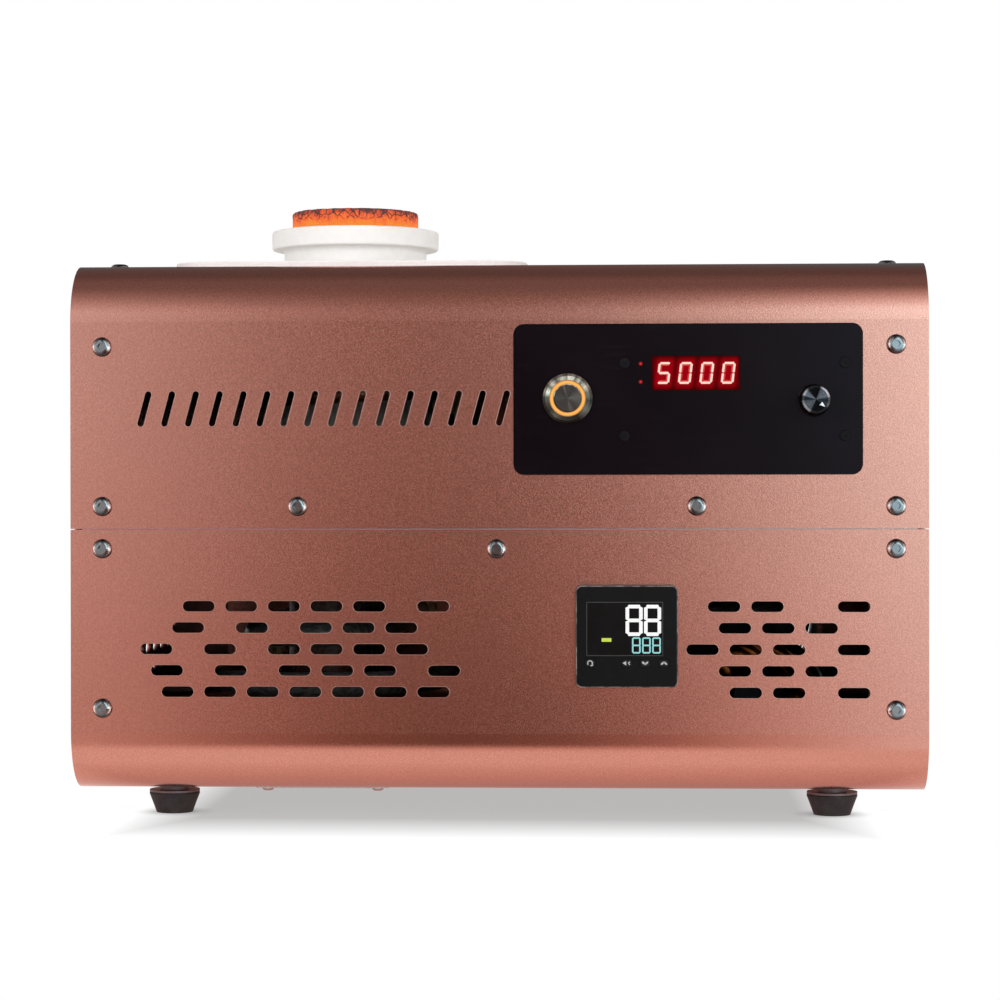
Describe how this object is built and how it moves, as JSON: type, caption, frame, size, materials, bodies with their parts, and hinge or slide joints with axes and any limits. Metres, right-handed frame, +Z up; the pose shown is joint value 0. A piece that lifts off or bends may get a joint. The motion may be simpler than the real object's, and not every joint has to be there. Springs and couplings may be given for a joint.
{
  "type": "electric gold melting furnace",
  "caption": "Tabletop induction melting furnace: a rounded two-part metal case with a lift-out crucible in its top, vent slots, and a front panel with push button, dial and readout.",
  "frame": {"origin": "on the floor, centred in plan under the whole outline from the knob's face to the water pipes' ends", "axes": "+X to the right as seen from the front, +Y to the back, +Z up"},
  "size_m": [0.4, 0.3678, 0.2961],
  "materials": {
    "case_paint": "satin rose anodised, fine grain",
    "side_paint": "satin rose anodised",
    "plated_steel": "zinc plated",
    "screw_steel": "bright stainless",
    "black_rubber": "matte",
    "white_ceramic": "matte fired white",
    "white_board": "matte white board",
    "graphite": "graphite glowing orange",
    "fibre": "matte fibre",
    "copper": "bright copper",
    "copper_winding": "enamelled wire",
    "hose_white": "milky silicone",
    "brass_fitting": "plain brass",
    "black_plastic": "matte",
    "grey_plastic": "satin",
    "blue_plastic": "satin",
    "capacitor_brown": "shrink sleeve",
    "board_green": "solder mask",
    "panel_black": "polished black acrylic",
    "display_red": "dark red filter",
    "led_red": "clear",
    "switch_steel": "satin stainless",
    "switch_glow": "lit ring",
    "knob_black": "black anodised",
    "window_black": "polished",
    "key_black": "satin",
    "sink_aluminium": "extruded"
  },
  "bodies": {
    "case": {"upper_shell": "case_paint", "lower_shell": "case_paint", "right_side_panel": "side_paint", "left_side_panel": "side_paint", "chassis_shelf": "plated_steel", "shell_screws": "screw_steel", "bottom_service_plate": "plated_steel", "service_plate_screws": "screw_steel", "rubber_feet": "black_rubber", "foot_washers": "plated_steel", "foot_screws": "plated_steel", "top_insulation_plate": "white_board", "insulation_plate_screws": "screw_steel", "crucible_liner": "white_ceramic", "coil_sleeve": "fibre", "induction_coil": "copper", "liner_support_block": "fibre", "thermocouple": "screw_steel", "coil_terminals": "copper", "resonant_capacitors": "grey_plastic", "output_transformer": "copper_winding", "water_inlet_hose": "hose_white", "water_outlet_hose": "hose_white", "water_fittings": "brass_fitting", "cable_gland": "black_plastic", "rear_fitting_nuts": "brass_fitting", "breaker_body": "grey_plastic", "contactor": "grey_plastic", "left_fan_frame": "black_plastic", "right_fan_frame": "black_plastic", "fan_guards": "screw_steel", "fan_screws": "screw_steel", "control_panel": "panel_black", "control_panel_screws": "knob_black", "board_standoffs": "brass_fitting", "control_board": "board_green", "display_module": "display_red", "indicator_leds": "led_red", "power_switch_body": "switch_steel", "power_switch_ring": "switch_glow", "power_switch_nut": "switch_steel", "potentiometer_body": "plated_steel", "controller_housing": "black_plastic", "controller_window": "window_black", "controller_clamp": "black_plastic", "heat_sink": "sink_aluminium", "power_modules": "blue_plastic", "inverter_board": "board_green", "bus_capacitors": "capacitor_brown"},
    "switch_cap": {"power_switch_cap": "switch_steel"},
    "dial": {"power_knob": "knob_black", "potentiometer_shaft": "plated_steel"},
    "menu_button": {"menu_key": "key_black"},
    "shift_button": {"shift_key": "key_black"},
    "down_button": {"down_key": "key_black"},
    "up_button": {"up_key": "key_black"},
    "crucible": {"graphite_crucible": "graphite"},
    "left_fan": {"left_fan_rotor": "black_plastic"},
    "right_fan": {"right_fan_rotor": "black_plastic"},
    "lever": {"breaker_lever": "black_plastic"}
  },
  "joints": [
    {"name": "power_switch_press", "type": "slide", "parent": "case", "child": "switch_cap", "axis": [0, 1, 0], "range_m": [0, 0.003], "stiffness_N_per_m": 600},
    {"name": "power_dial_turn", "type": "hinge", "parent": "case", "child": "dial", "pos_m": [0.1469, -0.1761, 0.19675], "axis": [0, 1, 0], "range_deg": [-280, 20]},
    {"name": "menu_key_press", "type": "slide", "parent": "case", "child": "menu_button", "axis": [0, 1, 0], "range_m": [0, 0.0008], "stiffness_N_per_m": 1500},
    {"name": "shift_key_press", "type": "slide", "parent": "case", "child": "shift_button", "axis": [0, 1, 0], "range_m": [0, 0.0008], "stiffness_N_per_m": 1500},
    {"name": "down_key_press", "type": "slide", "parent": "case", "child": "down_button", "axis": [0, 1, 0], "range_m": [0, 0.0008], "stiffness_N_per_m": 1500},
    {"name": "up_key_press", "type": "slide", "parent": "case", "child": "up_button", "axis": [0, 1, 0], "range_m": [0, 0.0008], "stiffness_N_per_m": 1500},
    {"name": "crucible_lift", "type": "slide", "parent": "case", "child": "crucible", "axis": [0, 0, 1], "range_m": [0, 0.12]},
    {"name": "left_fan_spin", "type": "hinge", "parent": "case", "child": "left_fan", "pos_m": [0.042, 0.1339, 0.08205], "axis": [0, 1, 0], "continuous": true},
    {"name": "right_fan_spin", "type": "hinge", "parent": "case", "child": "right_fan", "pos_m": [0.128, 0.1339, 0.08205], "axis": [0, 1, 0], "continuous": true},
    {"name": "breaker_lever_throw", "type": "hinge", "parent": "case", "child": "lever", "pos_m": [0.12, 0.1479, 0.19615], "axis": [1, 0, 0], "range_deg": [-50, 0]}
  ]
}
